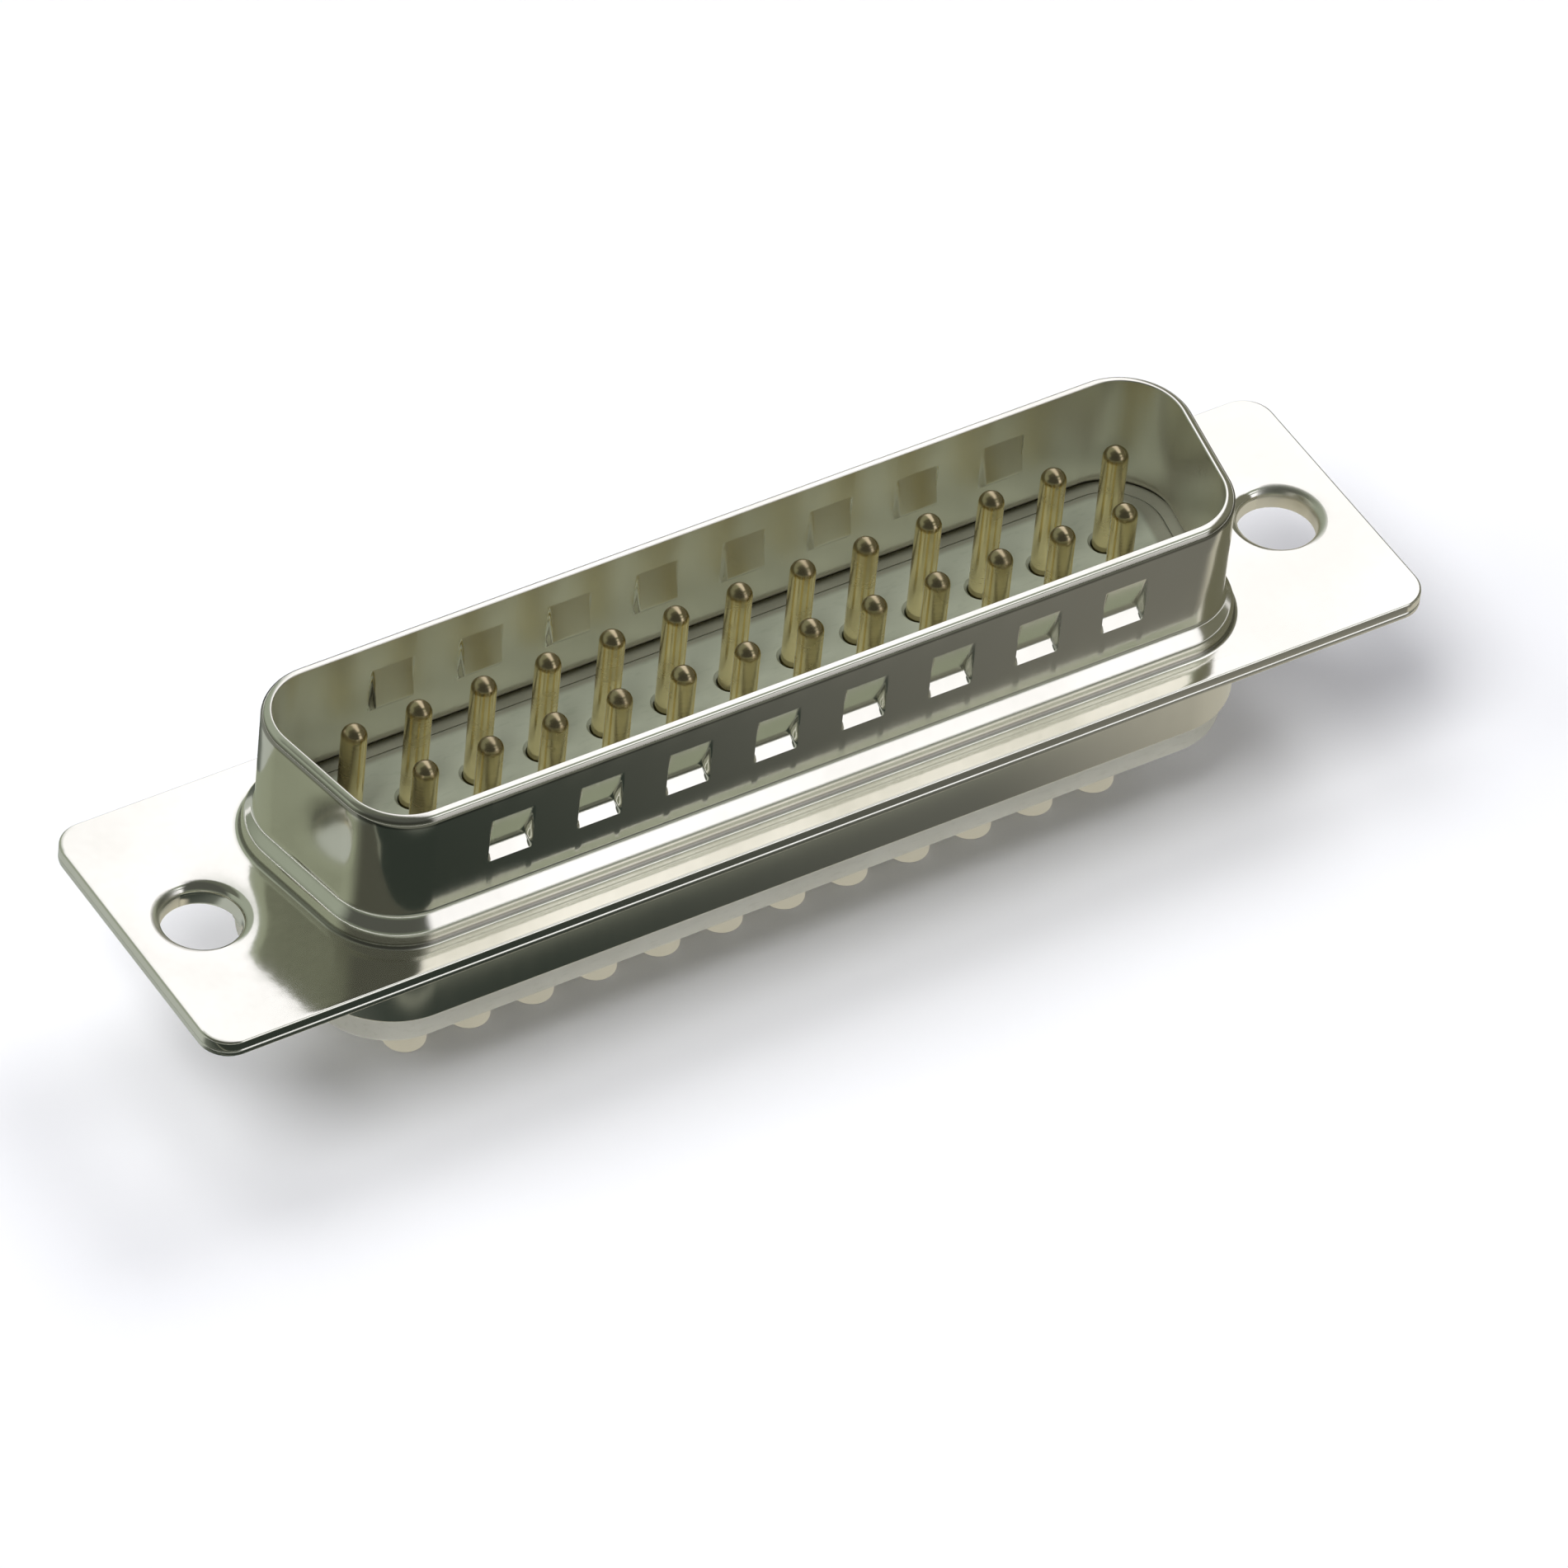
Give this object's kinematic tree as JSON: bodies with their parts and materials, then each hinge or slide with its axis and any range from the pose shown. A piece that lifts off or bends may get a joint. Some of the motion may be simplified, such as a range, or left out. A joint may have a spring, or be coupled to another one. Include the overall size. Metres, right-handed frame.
{
  "type": "d-sub connector",
  "caption": "D-shaped metal-shelled plug connector with two rows of round pins, a two-hole mounting flange and crimp barrels behind.",
  "frame": {"origin": "midway between the two mounting holes, on the front face of the flange", "axes": "+X along the connector, +Y towards the longer row of pins, +Z towards the mating side"},
  "size_m": [0.053, 0.0126, 0.0149],
  "materials": {
    "front_shell": "bright tin over drawn steel",
    "rear_shell": "bright tin over drawn steel",
    "insulator": "pale beige glass-filled moulding",
    "contact": "flash gold over brass"
  },
  "bodies": {
    "root": {"front_shell": "front_shell", "rear_shell": "rear_shell", "front_insulator": "insulator", "rear_insulator": "insulator", "contact_01": "contact", "contact_02": "contact", "contact_03": "contact", "contact_04": "contact", "contact_05": "contact", "contact_06": "contact", "contact_07": "contact", "contact_08": "contact", "contact_09": "contact", "contact_10": "contact", "contact_11": "contact", "contact_12": "contact", "contact_13": "contact", "contact_14": "contact", "contact_15": "contact", "contact_16": "contact", "contact_17": "contact", "contact_18": "contact", "contact_19": "contact", "contact_20": "contact", "contact_21": "contact", "contact_22": "contact", "contact_23": "contact", "contact_24": "contact", "contact_25": "contact"}
  },
  "joints": []
}
